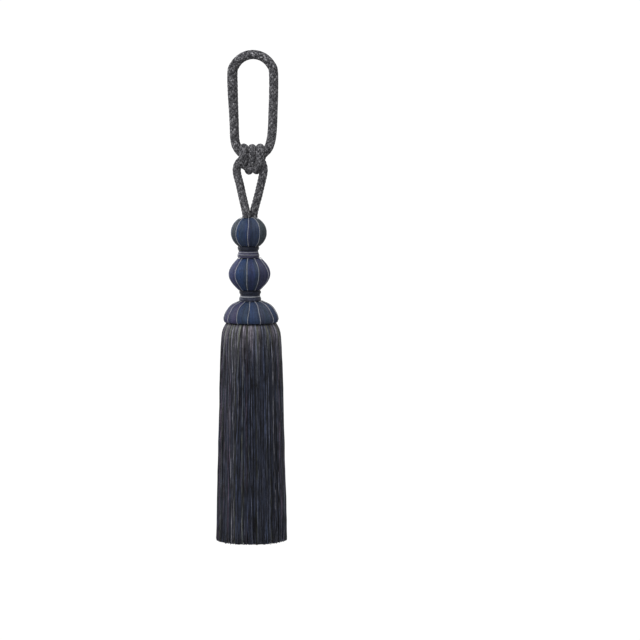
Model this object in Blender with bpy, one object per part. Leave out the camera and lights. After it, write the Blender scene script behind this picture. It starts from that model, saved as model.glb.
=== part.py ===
"""Curtain tieback tassel, hanging from the top of its rope loop.

A braided rope is tied in a wrapped knot. Its two lower strands carry a turned head of two
yarn covered balls, two wound collars and a bell, and a long cut skirt hangs from under the bell.
The origin is the top of the rope loop, +Z is up and -Y is the front. The tables are in millimetres.
"""

import math
import random
from collections import namedtuple

import bmesh
import bpy
from mathutils import Matrix, Vector

MM = 0.001

# Clearance between pieces that touch each other on the real tassel
GAP = 0.3

# Rope. A ring of points stands every RING_STRIDE steps of its finely divided centre line
ROPE_DIAMETER = 8.2
LEG_DIAMETER = 7.4
WRAP_DIAMETER = 7.3
TUCKED_END_DIAMETER = 6.2
ROPE_SIDES = 8
FINE_STEP = GAP
RING_STRIDE = 7
BRAID_RELIEF = 0.28
LOOP_RADIUS = 19.3
LOOP_CENTRE_Z = -LOOP_RADIUS - ROPE_DIAMETER / 2
LOOP_ARC = (170.0, 10.0)
LOOP_ARC_POINTS = 9

# Turned head: heights of the pieces, and the sideways place of each one's own axis
UPPER_BALL_X = -4.2
UPPER_BALL_Z = -169.6
UPPER_BALL_RADIUS = 16.4
UPPER_BALL_HALF_HEIGHT = 15.2
UPPER_BALL_TOP = 13.8
UPPER_BALL_FOOT = 12.1
UPPER_COLLAR_X = -4.6
UPPER_COLLAR_HEIGHT = 10.9
UPPER_COLLAR_RADIUS = 10.1
LOWER_BALL_X = -3.6
LOWER_BALL_Z = -208.1
LOWER_BALL_RADIUS = 19.35
LOWER_BALL_HALF_WAVE = 22.6
LOWER_BALL_TOP = 14.9
LOWER_BALL_FOOT = 15.1
LOWER_COLLAR_X = -3.1
LOWER_COLLAR_HEIGHT = 10.0
LOWER_COLLAR_RADIUS = 10.2
BELL_X = -2.3
BALL_ROWS = 14
COLLAR_SIDES = 28
BALL_SIDES = 32
BELL_SIDES = 40

# Skirt
SKIRT_X = -2.2
SKIRT_SEED = 11
LOCK_GAP = 0.5
CUT_UNEVENNESS = 0.8
LOCK_DRIFT_SHARE = 0.04
BACKING_THICKNESS = 2.5
BACKING_LIP = 0.4
BACKING_SIDES = 46

CollarRow = namedtuple("CollarRow", "depth_share radius_share")
COLLAR_ROWS = (
    CollarRow(0.00, 0.91),
    CollarRow(0.11, 0.98),
    CollarRow(0.22, 0.985),
    CollarRow(0.34, 0.93),
    CollarRow(0.46, 0.885),
    CollarRow(0.60, 0.925),
    CollarRow(0.75, 0.99),
    CollarRow(0.88, 1.0),
    CollarRow(1.00, 0.955),
)

BellRow = namedtuple("BellRow", "depth radius")
BELL_ROWS = (
    BellRow(0.0, 10.3),
    BellRow(1.1, 13.2),
    BellRow(3.1, 17.4),
    BellRow(5.6, 20.5),
    BellRow(8.7, 22.8),
    BellRow(12.2, 24.7),
    BellRow(15.2, 25.6),
    BellRow(16.8, 25.75),
    BellRow(18.2, 25.2),
    BellRow(19.3, 24.2),
)

# Outer shape of the skirt, measured down from the bell's rim
SkirtRow = namedtuple("SkirtRow", "depth radius")
SKIRT_ROWS = (
    SkirtRow(0.3, 23.7),
    SkirtRow(2.6, 24.7),
    SkirtRow(7.0, 26.5),
    SkirtRow(14.0, 27.9),
    SkirtRow(35.0, 29.0),
    SkirtRow(110.0, 30.9),
    SkirtRow(204.6, 33.2),
)

# Rings of locks in the skirt, from the outside in. The turns keep their gaps out of line
LockRing = namedtuple("LockRing", "outer_share inner_share locks turn stations")
LOCK_RINGS = (
    LockRing(1.00, 0.85, 46, 0.00, (1.0, 7.0, 14.0, 35.0, 110.0, 204.6)),
    LockRing(0.83, 0.67, 36, 0.35, (1.0, 14.0, 204.6)),
    LockRing(0.65, 0.48, 28, 0.80, (1.0, 14.0, 204.6)),
    LockRing(0.46, 0.28, 18, 0.25, (1.0, 14.0, 204.6)),
    LockRing(0.26, 0.06, 8, 0.60, (1.0, 14.0, 204.6)),
)

# Routes of the rope's centre line, in x, y, z. Between these two heights the rope is part of the knot
KNOT_UPPER_Z = -86.2
KNOT_LOWER_Z = -112.0
LOOP_LEFT_ROUTE = (
    (0.0, 1.0, -98.6),
    (-6.5, 0.8, -97.6),
    (-11.4, 0.3, -94.7),
    (-14.6, 0.0, -90.6),
    (-16.4, 0.0, -86.0),
    (-17.2, 0.0, -80.0),
    (-17.5, 0.0, -70.0),
    (-18.1, 0.0, -55.0),
    (-18.8, 0.0, -39.0),
)
LOOP_RIGHT_ROUTE = (
    (19.1, 0.0, -41.0),
    (18.6, 0.0, -56.0),
    (18.1, 0.0, -70.0),
    (17.3, 0.0, -79.5),
    (16.0, 0.0, -86.0),
    (14.1, 0.0, -90.8),
    (10.8, 0.3, -94.7),
    (6.2, 0.8, -97.6),
    (0.0, 1.0, -98.6),
)
LEG_ROUTE = (
    (-6.2, -2.3, -155.5),
    (-6.4, -2.2, -152.0),
    (-7.6, -1.7, -146.0),
    (-10.2, -1.0, -135.0),
    (-12.5, -0.6, -124.4),
    (-14.6, -0.2, -116.5),
    (-15.3, 0.0, -111.0),
    (-14.4, 0.2, -105.8),
    (-11.4, 0.4, -101.8),
    (-6.0, 0.6, -99.8),
    (0.0, 0.6, -99.4),
    (6.0, -0.6, -99.8),
    (8.6, -2.3, -102.8),
    (9.5, -3.6, -106.8),
    (9.8, -4.6, -111.4),
    (8.9, -4.0, -117.2),
    (7.1, -2.1, -124.8),
    (4.5, -0.2, -135.5),
    (1.6, 1.6, -146.0),
    (0.3, 2.3, -152.0),
    (0.0, 2.4, -155.5),
)

# The knot: three upright turns round the bends of both ropes, and a tucked end
TUCKED_END_ROUTE = (
    (-6.9, -4.3, -108.2),
    (-3.9, -6.3, -109.5),
    (-0.4, -7.0, -110.0),
    (2.6, -6.2, -109.6),
    (4.0, -5.2, -109.0),
)
KnotTurn = namedtuple("KnotTurn", "top_x foot_x back_x top_z foot_z half_depth")
KNOT_TURNS = (
    KnotTurn(-8.3, -9.2, -8.6, -89.7, -106.6, 7.3),
    KnotTurn(-0.9, -3.9, -2.4, -90.2, -111.6, 7.9),
    KnotTurn(6.6, 3.0, 5.0, -89.7, -111.4, 7.3),
)
KNOT_TURN_STEPS = 22
KNOT_SIDES = 10

# The knot is packed tight: its middle is one oval core along X
KNOT_CORE_X = -1.3
KNOT_CORE_Z = -99.8
KNOT_CORE_LENGTH = 15.0
KNOT_CORE_HALF_DEPTH = 6.2
KNOT_CORE_HALF_HEIGHT = 8.4

# Colours, linear, with the roughness of each yarn
ROPE_LOOK = ((0.080, 0.080, 0.088), 0.85)
YARN_LOOK = ((0.032, 0.044, 0.092), 0.55)
COLLAR_LOOK = ((0.042, 0.045, 0.072), 0.6)
SKIRT_LOOK = ((0.028, 0.031, 0.042), 0.7)


def clear_scene():
    for item in list(bpy.data.objects):
        bpy.data.objects.remove(item, do_unlink=True)


def yarn_material(name, look):
    colour, roughness = look
    material = bpy.data.materials.new(name)
    material.use_nodes = True
    shader = material.node_tree.nodes["Principled BSDF"]
    shader.inputs["Base Color"].default_value = (*colour, 1.0)
    shader.inputs["Roughness"].default_value = roughness
    shader.inputs["Metallic"].default_value = 0.0
    return material


def place_object(name, bm, material, location=(0.0, 0.0, 0.0), crease_degrees=50.0):
    """Turns a bmesh in millimetres into a named object in metres, closed and facing out."""
    bmesh.ops.recalc_face_normals(bm, faces=bm.faces[:])
    bmesh.ops.scale(bm, vec=(MM, MM, MM), verts=bm.verts[:])
    mesh = bpy.data.meshes.new(name)
    bm.to_mesh(mesh)
    bm.free()
    mesh.shade_smooth()
    mesh.set_sharp_from_angle(angle=math.radians(crease_degrees))
    mesh.materials.append(material)
    thing = bpy.data.objects.new(name, mesh)
    thing.location = Vector(location) * MM
    bpy.context.collection.objects.link(thing)
    return thing


def smooth_line(points):
    """Points FINE_STEP apart on a smooth curve through the given points."""
    knots = [Vector(point) for point in points]
    knots = [knots[0] * 2 - knots[1], *knots, knots[-1] * 2 - knots[-2]]
    dense = []
    spans = 24
    for i in range(1, len(knots) - 2):
        before, start, end, after = knots[i - 1:i + 3]
        for k in range(spans):
            t = k / spans
            pull = (end - before) * t + (before * 2 - start * 5 + end * 4 - after) * t * t
            pull += (start * 3 - before - end * 3 + after) * t ** 3
            dense.append(start + pull * 0.5)
    dense.append(knots[-2])
    return even_points(dense)


def even_points(dense):
    """The same line with evenly spaced points."""
    lengths = [0.0]
    for a, b in zip(dense, dense[1:]):
        lengths.append(lengths[-1] + (b - a).length)
    count = round(lengths[-1] / FINE_STEP)
    result = []
    place = 0
    for i in range(count + 1):
        target = lengths[-1] * i / count
        while place < len(lengths) - 2 and lengths[place + 1] < target:
            place += 1
        share = (target - lengths[place]) / (lengths[place + 1] - lengths[place])
        result.append(dense[place].lerp(dense[place + 1], share))
    return result


def in_knot(point):
    return KNOT_LOWER_Z < point.z < KNOT_UPPER_Z


def tube_rings(bm, line, stride, radius, sides, closed=False, relief=0.0):
    """Rings of points round a line. Relief raises every other point, as the strands of a braid do."""
    places = list(range(0, len(line), stride))
    if not closed and places[-1] != len(line) - 1:
        places[-1] = len(line) - 1
    rings = []
    side_way = None
    for i, place in enumerate(places):
        ahead = line[(place + 1) % len(line)] if closed else line[min(place + 1, len(line) - 1)]
        behind = line[place - 1] if closed or place > 0 else line[0]
        along = (ahead - behind).normalized()
        if side_way is None:
            side_way = along.orthogonal().normalized()
        side_way = (side_way - along * side_way.dot(along)).normalized()
        across = along.cross(side_way)
        ring = []
        for k in range(sides):
            angle = 2 * math.pi * k / sides
            lift = relief if (i + k) % 2 else -relief
            arm = (side_way * math.cos(angle) + across * math.sin(angle)) * (radius + lift)
            ring.append(bm.verts.new(line[place] + arm))
        rings.append(ring)
    return rings


def add_tube(bm, line, stride, radius, sides, closed=False, relief=0.0):
    """A solid tube along a line: open with flat ends, or closed on itself."""
    rings = tube_rings(bm, line, stride, radius, sides, closed, relief)
    pairs = list(zip(rings, rings[1:]))
    if closed:
        pairs.append((rings[-1], rings[0]))
    for low, high in pairs:
        for k in range(sides):
            n = (k + 1) % sides
            bm.faces.new((low[k], low[n], high[n], high[k]))
    if not closed:
        bm.faces.new(list(reversed(rings[0])))
        bm.faces.new(rings[-1])


def loop_line():
    """From the knot up the left strand, over the round top and down the right strand into the knot."""
    top = []
    start, end = LOOP_ARC
    for i in range(LOOP_ARC_POINTS):
        angle = math.radians(start + (end - start) * i / (LOOP_ARC_POINTS - 1))
        top.append((LOOP_RADIUS * math.cos(angle), 0.0, LOOP_CENTRE_Z + LOOP_RADIUS * math.sin(angle)))
    return smooth_line(LOOP_LEFT_ROUTE + tuple(top) + LOOP_RIGHT_ROUTE)


def make_rope(name, line, diameter, material):
    bm = bmesh.new()
    add_tube(bm, line, RING_STRIDE, diameter / 2, ROPE_SIDES, relief=BRAID_RELIEF)
    return place_object(name, bm, material)


def make_ropes(material):
    """The loop and the two legs, each ending at the knot. Returns the bends inside the knot."""
    loop = loop_line()
    first = next(i for i, point in enumerate(loop) if not in_knot(point))
    last = max(i for i, point in enumerate(loop) if not in_knot(point))
    make_rope("rope_loop", loop[first:last + 1], ROPE_DIAMETER, material)
    loop_bend = loop[last + 1:] + loop[1:first]
    legs = smooth_line(LEG_ROUTE)
    inside = [i for i, point in enumerate(legs) if in_knot(point)]
    make_rope("rope_leg_left", legs[:inside[0]], LEG_DIAMETER, material)
    make_rope("rope_leg_right", legs[inside[-1] + 1:], LEG_DIAMETER, material)
    leg_bend = legs[inside[0]:inside[-1] + 1]
    return (loop_bend, ROPE_DIAMETER), (leg_bend, LEG_DIAMETER)


def knot_turn_line(turn):
    """One upright turn: down the front from its top, under its foot and up the back."""
    middle_z = (turn.top_z + turn.foot_z) / 2
    half_height = (turn.top_z - turn.foot_z) / 2
    route = []
    for i in range(KNOT_TURN_STEPS):
        angle = 2 * math.pi * i / KNOT_TURN_STEPS
        height = math.cos(angle)
        lean = (turn.top_x + turn.foot_x) / 2 + (turn.top_x - turn.foot_x) / 2 * height
        behind = max(0.0, -math.sin(angle))
        x = lean + (turn.back_x - lean) * behind
        route.append(Vector((x, -turn.half_depth * math.sin(angle), middle_z + half_height * height)))
    return route


def add_united(bm_target, shapes):
    """Joins closed shapes into one body with exact Boolean unions."""
    things = []
    for i, shape in enumerate(shapes):
        bmesh.ops.triangulate(shape, faces=shape.faces[:])
        bmesh.ops.recalc_face_normals(shape, faces=shape.faces[:])
        mesh = bpy.data.meshes.new(f"shape_{i}")
        shape.to_mesh(mesh)
        shape.free()
        thing = bpy.data.objects.new(f"shape_{i}", mesh)
        bpy.context.collection.objects.link(thing)
        things.append(thing)
    base = things[0]
    for other in things[1:]:
        union = base.modifiers.new("union", "BOOLEAN")
        union.operation = "UNION"
        union.solver = "EXACT"
        union.object = other
    bpy.context.view_layer.update()
    evaluated = base.evaluated_get(bpy.context.evaluated_depsgraph_get())
    bm_target.from_mesh(evaluated.to_mesh())
    for thing in things:
        bpy.data.objects.remove(thing, do_unlink=True)


def knot_core():
    """An oval bar along X, the packed middle that the turns lie round."""
    size = Matrix.Diagonal((KNOT_CORE_HALF_HEIGHT, KNOT_CORE_HALF_DEPTH, KNOT_CORE_LENGTH, 1.0))
    lay_down = Matrix.Rotation(math.pi / 2, 4, "Y")
    shape = bmesh.new()
    bmesh.ops.create_cone(
        shape,
        cap_ends=True,
        cap_tris=False,
        segments=2 * KNOT_SIDES,
        radius1=1.0,
        radius2=1.0,
        depth=1.0,
        matrix=Matrix.Translation((KNOT_CORE_X, 0.0, KNOT_CORE_Z)) @ lay_down @ size,
    )
    return shape


def fill_voids(bm):
    """Keeps the largest connected skin, which fills the small hollows sealed between the turns."""
    waiting = set(bm.verts)
    skins = []
    while waiting:
        stack = [waiting.pop()]
        skin = []
        while stack:
            vert = stack.pop()
            skin.append(vert)
            for edge in vert.link_edges:
                other = edge.other_vert(vert)
                if other in waiting:
                    waiting.remove(other)
                    stack.append(other)
        skins.append(skin)
    skins.sort(key=len)
    for skin in skins[:-1]:
        bmesh.ops.delete(bm, geom=skin, context="VERTS")


def make_knot(bends, material):
    shapes = [knot_core()]
    for bend, diameter in bends:
        shape = bmesh.new()
        add_tube(shape, bend, RING_STRIDE, diameter / 2, ROPE_SIDES, relief=BRAID_RELIEF)
        shapes.append(shape)
    for turn in KNOT_TURNS:
        shape = bmesh.new()
        line = knot_turn_line(turn)
        add_tube(shape, line, 1, WRAP_DIAMETER / 2, KNOT_SIDES, closed=True, relief=BRAID_RELIEF)
        shapes.append(shape)
    shape = bmesh.new()
    add_tube(shape, smooth_line(TUCKED_END_ROUTE), RING_STRIDE, TUCKED_END_DIAMETER / 2, KNOT_SIDES)
    shapes.append(shape)
    bm = bmesh.new()
    add_united(bm, shapes)
    bmesh.ops.remove_doubles(bm, verts=bm.verts[:], dist=0.005)
    fill_voids(bm)
    bmesh.ops.triangulate(bm, faces=bm.faces[:])
    return place_object("rope_knot", bm, material)


def make_turned(name, outline, centre_x, top_z, sides, material):
    """A turned solid from rows of depth below its top and radius, flat at both ends."""
    bm = bmesh.new()
    line = [bm.verts.new((0.0, 0.0, 0.0))]
    for depth, radius in outline:
        line.append(bm.verts.new((radius, 0.0, -depth)))
    line.append(bm.verts.new((0.0, 0.0, -outline[-1][0])))
    edges = [bm.edges.new(pair) for pair in zip(line, line[1:])]
    bmesh.ops.spin(
        bm,
        geom=line + edges,
        cent=(0, 0, 0),
        axis=(0, 0, 1),
        angle=2 * math.pi,
        steps=sides,
        use_merge=True,
    )
    bmesh.ops.remove_doubles(bm, verts=bm.verts[:], dist=0.001)
    return place_object(name, bm, material, location=(centre_x, 0.0, top_z))


def upper_ball_outline():
    """A slightly flattened round ball, cut flat where the rope enters and where the collar starts."""
    rows = []
    for i in range(BALL_ROWS + 1):
        depth = (UPPER_BALL_TOP + UPPER_BALL_FOOT) * i / BALL_ROWS
        share = (UPPER_BALL_TOP - depth) / UPPER_BALL_HALF_HEIGHT
        rows.append((depth, UPPER_BALL_RADIUS * math.sqrt(1 - share * share)))
    return rows


def lower_ball_outline():
    """A ball that follows a cosine wave, fuller at its middle than a round one."""
    rows = []
    for i in range(BALL_ROWS + 1):
        depth = (LOWER_BALL_TOP + LOWER_BALL_FOOT) * i / BALL_ROWS
        share = (LOWER_BALL_TOP - depth) / LOWER_BALL_HALF_WAVE
        rows.append((depth, LOWER_BALL_RADIUS * math.cos(share * math.pi / 2)))
    return rows


def collar_outline(height, radius):
    """Two wound ridges with a groove between them."""
    return [(row.depth_share * height, row.radius_share * radius) for row in COLLAR_ROWS]


def make_head(yarn, collar_yarn):
    """The turned pieces from the top down. Returns the height of the bell's rim."""
    ball_top = UPPER_BALL_Z + UPPER_BALL_TOP
    make_turned("upper_ball", upper_ball_outline(), UPPER_BALL_X, ball_top, BALL_SIDES, yarn)
    collar_top = UPPER_BALL_Z - UPPER_BALL_FOOT - GAP
    collar = collar_outline(UPPER_COLLAR_HEIGHT, UPPER_COLLAR_RADIUS)
    make_turned("upper_collar", collar, UPPER_COLLAR_X, collar_top, COLLAR_SIDES, collar_yarn)
    ball_top = LOWER_BALL_Z + LOWER_BALL_TOP
    make_turned("lower_ball", lower_ball_outline(), LOWER_BALL_X, ball_top, BALL_SIDES, yarn)
    collar_top = LOWER_BALL_Z - LOWER_BALL_FOOT - GAP
    collar = collar_outline(LOWER_COLLAR_HEIGHT, LOWER_COLLAR_RADIUS)
    make_turned("lower_collar", collar, LOWER_COLLAR_X, collar_top, COLLAR_SIDES, collar_yarn)
    bell_top = collar_top - LOWER_COLLAR_HEIGHT - GAP
    make_turned("bell", BELL_ROWS, BELL_X, bell_top, BELL_SIDES, yarn)
    return bell_top - BELL_ROWS[-1].depth


def skirt_radius(depth):
    """Outer radius of the skirt at a depth below the bell's rim."""
    for upper, lower in zip(SKIRT_ROWS, SKIRT_ROWS[1:]):
        if depth <= lower.depth:
            share = (depth - upper.depth) / (lower.depth - upper.depth)
            return upper.radius + (lower.radius - upper.radius) * share
    return SKIRT_ROWS[-1].radius


def add_lock(bm, ring, number, chance):
    """One four sided lock of yarn, from its root in the backing to its cut end."""
    pitch = 2 * math.pi / ring.locks
    middle = pitch * (number + ring.turn)
    cut = chance.uniform(-CUT_UNEVENNESS, 0.0)
    drift = chance.uniform(-LOCK_DRIFT_SHARE, LOCK_DRIFT_SHARE) * pitch
    rings = []
    for place, depth in enumerate(ring.stations):
        last = place == len(ring.stations) - 1
        radius = skirt_radius(depth)
        turn = middle + drift * place / len(ring.stations)
        corners = []
        for share, way in (
            (ring.outer_share, -1),
            (ring.outer_share, 1),
            (ring.inner_share, 1),
            (ring.inner_share, -1),
        ):
            reach = radius * share
            angle = turn + way * (pitch - LOCK_GAP / reach) / 2
            height = -depth - (cut if last else 0.0)
            corners.append(bm.verts.new((reach * math.cos(angle), reach * math.sin(angle), height)))
        rings.append(corners)
    for high, low in zip(rings, rings[1:]):
        for k in range(4):
            n = (k + 1) % 4
            bm.faces.new((high[k], high[n], low[n], low[k]))
    bm.faces.new(rings[0])
    bm.faces.new(list(reversed(rings[-1])))


def make_skirt(rim_z, material):
    """A thin backing under the bell, with the locks of the skirt fused to it by their roots."""
    chance = random.Random(SKIRT_SEED)
    backing = bmesh.new()
    bmesh.ops.create_cone(
        backing,
        cap_ends=True,
        cap_tris=False,
        segments=BACKING_SIDES,
        radius1=skirt_radius(GAP + BACKING_THICKNESS) + BACKING_LIP,
        radius2=SKIRT_ROWS[0].radius,
        depth=BACKING_THICKNESS,
        matrix=Matrix.Translation((0.0, 0.0, -GAP - BACKING_THICKNESS / 2)),
    )
    locks = bmesh.new()
    for ring in LOCK_RINGS:
        for number in range(ring.locks):
            add_lock(locks, ring, number, chance)
    bm = bmesh.new()
    add_united(bm, [backing, locks])
    bmesh.ops.triangulate(bm, faces=bm.faces[:])
    return place_object("skirt", bm, material, location=(SKIRT_X, 0.0, rim_z), crease_degrees=30.0)


def main():
    clear_scene()
    rope = yarn_material("braided_rope", ROPE_LOOK)
    yarn = yarn_material("head_yarn", YARN_LOOK)
    collar_yarn = yarn_material("collar_yarn", COLLAR_LOOK)
    skirt_yarn = yarn_material("skirt_yarn", SKIRT_LOOK)
    bends = make_ropes(rope)
    make_knot(bends, rope)
    rim_z = make_head(yarn, collar_yarn)
    make_skirt(rim_z, skirt_yarn)


main()
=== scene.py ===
"""The looks of a curtain tieback tassel: braided rope, wrapped knot, yarn covered head and cut skirt.

Lengths in the tables and in the geometry functions are millimetres, in the frame of the CAD model.
"""

import math
from collections import namedtuple

import bpy
import numpy as np
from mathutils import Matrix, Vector


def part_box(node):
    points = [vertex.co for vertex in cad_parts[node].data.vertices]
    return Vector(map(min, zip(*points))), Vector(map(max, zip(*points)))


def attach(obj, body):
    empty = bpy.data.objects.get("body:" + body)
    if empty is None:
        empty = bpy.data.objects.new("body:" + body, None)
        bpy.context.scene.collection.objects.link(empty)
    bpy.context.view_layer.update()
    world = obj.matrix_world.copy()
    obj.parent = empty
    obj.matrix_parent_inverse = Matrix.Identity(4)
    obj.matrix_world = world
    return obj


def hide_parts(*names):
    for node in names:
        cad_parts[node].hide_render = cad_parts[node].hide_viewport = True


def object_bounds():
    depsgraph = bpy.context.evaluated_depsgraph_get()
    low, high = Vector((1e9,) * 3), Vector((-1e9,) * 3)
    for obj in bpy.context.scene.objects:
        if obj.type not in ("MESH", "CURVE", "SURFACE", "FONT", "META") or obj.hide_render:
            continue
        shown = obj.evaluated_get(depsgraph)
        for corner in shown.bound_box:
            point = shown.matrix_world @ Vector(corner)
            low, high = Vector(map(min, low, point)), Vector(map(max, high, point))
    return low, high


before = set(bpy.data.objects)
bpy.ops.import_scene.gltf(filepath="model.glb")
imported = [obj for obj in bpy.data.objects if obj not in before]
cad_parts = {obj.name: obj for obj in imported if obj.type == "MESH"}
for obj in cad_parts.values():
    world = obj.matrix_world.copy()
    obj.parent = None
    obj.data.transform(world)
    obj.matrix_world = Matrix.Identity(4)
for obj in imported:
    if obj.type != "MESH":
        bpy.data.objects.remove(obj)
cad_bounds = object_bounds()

MM = 0.001
TURN = 2 * math.pi
SEED = 20

# Camera: a long lens a little above the middle of the view, looking along +Y
VIEW_WIDTH = 598.4
VIEW_CENTRE = (62.2, 0.0, -251.5)
CAMERA_DISTANCE = 3000.0
CAMERA_ELEVATION = 5.5
SENSOR_WIDTH = 36.0
CLIP_END_M = 100.0

# Studio
FLOOR_DROP = 160.0
FLOOR_RADIUS = 260.0
FLOOR_SIDES = 96
FLOOR_GREY = 0.72
FLOOR_ROUGHNESS = 0.9
WHITE_LEVEL = 1.05
SKY_LIGHT = 0.70
SKY_FROM = 0.5
GROUND_LIGHT = 0.47
GROUND_FROM = -0.4
SunLight = namedtuple("SunLight", "name energy direction softness")
SUNS = (
    SunLight("key", 2.42, (0.42, 0.60, -0.80), 35.0),
    SunLight("back_left", 1.8, (0.80, -0.60, -0.35), 50.0),
    SunLight("back_right", 0.25, (-0.80, -0.60, -0.35), 50.0),
)

# Rope. Sizes of the braid's carriers are shares of the rope's diameter
ROPE_DIAMETER = 8.2
LEG_DIAMETER = 7.4
TUCKED_END_DIAMETER = 6.4
ROPE_STEP = 0.7
CARRIERS = 24
BRAID_LEAD = 46.0
BRAID_FULLNESS = 1.08
CARRIER_HALF_HEIGHT = 0.060
CARRIER_WAVE = 0.098
CARRIER_DWELL = 1.5
CARRIER_SECTION = (
    (1.0, -0.2),
    (0.8, 0.7),
    (0.4, 0.5),
    (0.0, 1.0),
    (-0.4, 0.5),
    (-0.8, 0.7),
    (-1.0, -0.2),
    (0.0, -0.9),
)
YARN_OF_CORNER = (0, 0, 1, 1, 1, 2, 2, 1)
CORE_CORNERS = 10
LEFT_SWELL = 0.13
LEFT_SWELL_Z = -30.0
LEFT_SWELL_REACH = 24.0
LIGHT_CARRIER_STRIDE = 3
LIGHT_CARRIER_SHARES = (0.22, 0.48)
DARK_CARRIER_SHARES = (0.0, 0.22)
ROPE_FLECKS = 1.0
KNOT_FLECKS = 0.8
FLECK_RARITY = 5
FLECK_FLOOR = 0.1
LOOP_RADIUS = 19.3
LOOP_CENTRE_Z = -LOOP_RADIUS - ROPE_DIAMETER / 2
LOOP_ARC = (170.0, 10.0)
LOOP_ARC_POINTS = 9
KNOT_UPPER_Z = -86.2
KNOT_LOWER_Z = -112.0
KNOT_HIDDEN_REACH = 7.0

# Routes of the rope's centre line, in x, y, z
LOOP_LEFT_ROUTE = (
    (0.0, 1.0, -98.6),
    (-6.5, 0.8, -97.6),
    (-11.4, 0.3, -94.7),
    (-14.6, 0.0, -90.6),
    (-16.4, 0.0, -86.0),
    (-17.2, 0.0, -80.0),
    (-17.5, 0.0, -70.0),
    (-18.1, 0.0, -55.0),
    (-18.8, 0.0, -39.0),
)
LOOP_RIGHT_ROUTE = (
    (19.1, 0.0, -41.0),
    (18.6, 0.0, -56.0),
    (18.1, 0.0, -70.0),
    (17.3, 0.0, -79.5),
    (16.0, 0.0, -86.0),
    (14.1, 0.0, -90.8),
    (10.8, 0.3, -94.7),
    (6.2, 0.8, -97.6),
    (0.0, 1.0, -98.6),
)
LEG_ROUTE = (
    (-6.2, -2.3, -155.5),
    (-6.4, -2.2, -152.0),
    (-7.6, -1.7, -146.0),
    (-10.2, -1.0, -135.0),
    (-12.5, -0.6, -124.4),
    (-14.6, -0.2, -116.5),
    (-15.3, 0.0, -111.0),
    (-14.1, 0.2, -106.1),
    (-10.9, 0.4, -102.2),
    (-6.0, 0.6, -100.2),
    (0.0, 0.6, -99.6),
    (5.0, -0.6, -100.3),
    (7.5, -2.3, -103.1),
    (9.2, -3.6, -107.0),
    (9.8, -4.6, -111.4),
    (8.9, -4.0, -117.2),
    (7.1, -2.1, -124.8),
    (4.5, -0.2, -135.5),
    (1.6, 1.6, -146.0),
    (0.3, 2.3, -152.0),
    (0.0, 2.4, -155.5),
)
TUCKED_END_ROUTE = (
    (-8.2, -2.4, -106.9),
    (-6.9, -4.3, -108.2),
    (-3.9, -6.3, -109.5),
    (-0.4, -7.0, -110.0),
    (2.6, -6.2, -109.6),
    (5.2, -3.8, -108.4),
)
KnotTurn = namedtuple("KnotTurn", "top_x foot_x top_z foot_z half_depth diameter")
KNOT_TURNS = (
    KnotTurn(-8.6, -8.7, -91.0, -106.2, 7.9, 8.3),
    KnotTurn(-0.9, -3.9, -91.0, -111.6, 7.1, 7.5),
    KnotTurn(6.5, 3.0, -90.6, -111.4, 7.4, 7.6),
)
KNOT_LAST_TOP = KnotTurn(11.0, 8.0, -92.5, -108.0, 6.0, 7.3)
KNOT_TURN_STEPS = 20
KNOT_FLATNESS = 0.6
KNOT_FOOT_HOLD = 3
# The first turn's hidden start: shift to the left, share of its half depth, and drop below its top
KNOT_START = ((0.0, 0.6, 9.0), (1.0, 0.7, 3.0))

# Colours of the yarns, linear
ROPE_DARK = (0.040, 0.040, 0.046)
ROPE_LIGHT = (0.285, 0.283, 0.298)
HEAD_NAVY = (0.018, 0.033, 0.088)
HEAD_BLUE = (0.018, 0.041, 0.104)
HEAD_GREY = (0.036, 0.046, 0.058)
HEAD_PLUM = (0.036, 0.033, 0.066)
HEAD_VIOLET = (0.036, 0.037, 0.092)
BELL_SLATE = (0.018, 0.033, 0.076)
BELL_BLUE = (0.022, 0.040, 0.096)
BELL_MAUVE = (0.034, 0.033, 0.078)
BELL_GREY = (0.026, 0.040, 0.060)
COLLAR_DARK = (0.014, 0.017, 0.031)
COLLAR_MAUVE = (0.046, 0.045, 0.086)
COLLAR_GREY = (0.036, 0.041, 0.068)
LIGHT_THREAD = (0.30, 0.31, 0.34)
StrandColour = namedtuple("StrandColour", "colour share")
STRAND_COLOURS = (
    StrandColour((0.007, 0.008, 0.013), 0.27),
    StrandColour((0.018, 0.022, 0.038), 0.35),
    StrandColour((0.021, 0.029, 0.054), 0.05),
    StrandColour((0.032, 0.036, 0.053), 0.17),
    StrandColour((0.033, 0.036, 0.030), 0.04),
    StrandColour((0.043, 0.033, 0.050), 0.07),
    StrandColour((0.100, 0.100, 0.118), 0.05),
)
STRANDS_ALIKE = 3
# Pale tints of the skirt's top: partly its top yarns' own colour, partly painted light from above on the
# skirt's shoulder
ROOT_TINTS_AND_TOP_LIGHT = (
    (0.106, 0.097, 0.118),
    (0.090, 0.094, 0.081),
    (0.125, 0.122, 0.150),
    (0.052, 0.056, 0.078),
)
ROOT_LIGHT_DEPTH = 22.0
# Painted shade: each strand is darkened in its first few millimetres, close under the bell's rim
ROOT_SHADE = 0.8
ROOT_SHADE_DEPTH = 1.7
MIDDLE_SHADE = 0.12

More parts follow.
